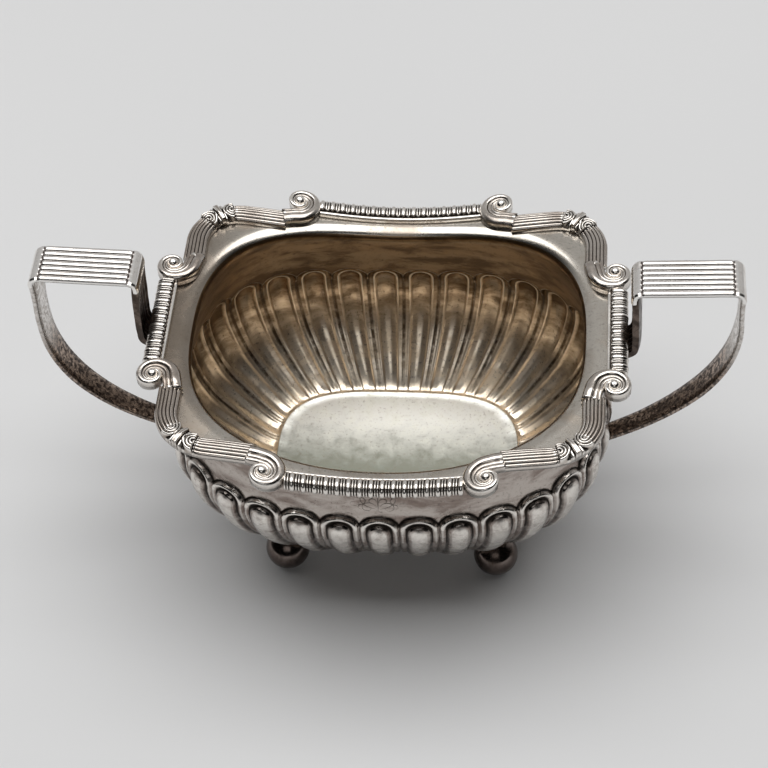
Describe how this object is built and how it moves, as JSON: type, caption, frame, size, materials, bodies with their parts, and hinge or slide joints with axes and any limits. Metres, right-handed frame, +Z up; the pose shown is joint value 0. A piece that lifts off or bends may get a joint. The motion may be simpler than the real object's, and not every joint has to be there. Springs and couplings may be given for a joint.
{
  "type": "sugar bowl",
  "caption": "Oblong half-fluted silver sugar bowl with a gadrooned and scrolled rim, a reeded strap handle at each end and ball feet.",
  "frame": {"origin": "on the table under the middle of the bowl", "axes": "+X along the bowl through both handles, -Y towards the front, +Z up"},
  "size_m": [0.2049, 0.117, 0.1033],
  "materials": {
    "raised_silver": "worn polished silver with brown toning",
    "border_silver": "bright cast silver with dark crevices",
    "handle_silver": "bright reeded silver",
    "tarnished_silver": "mottled tarnished silver",
    "foot_silver": "darkened polished silver"
  },
  "bodies": {
    "root": {"body_shell": "raised_silver", "gadroon_back": "border_silver", "gadroon_front": "border_silver", "gadroon_left": "border_silver", "gadroon_right": "border_silver", "scroll_long_back_right": "border_silver", "scroll_short_back_right": "border_silver", "reeding_long_back_right": "border_silver", "reeding_short_back_right": "border_silver", "tie_back_right": "border_silver", "scroll_long_back_left": "border_silver", "scroll_short_back_left": "border_silver", "reeding_long_back_left": "border_silver", "reeding_short_back_left": "border_silver", "tie_back_left": "border_silver", "scroll_long_front_left": "border_silver", "scroll_short_front_left": "border_silver", "reeding_long_front_left": "border_silver", "reeding_short_front_left": "border_silver", "tie_front_left": "border_silver", "scroll_long_front_right": "border_silver", "scroll_short_front_right": "border_silver", "reeding_long_front_right": "border_silver", "reeding_short_front_right": "border_silver", "tie_front_right": "border_silver", "handle_grip_right": "handle_silver", "handle_grip_left": "handle_silver", "handle_strap_right": "tarnished_silver", "handle_strap_left": "tarnished_silver", "handle_shoulder_right": "tarnished_silver", "handle_shoulder_left": "tarnished_silver", "foot_ball_back_right": "foot_silver", "foot_ball_back_left": "foot_silver", "foot_ball_front_left": "foot_silver", "foot_ball_front_right": "foot_silver", "foot_collar_back_right": "foot_silver", "foot_collar_back_left": "foot_silver", "foot_collar_front_left": "foot_silver", "foot_collar_front_right": "foot_silver"}
  },
  "joints": []
}
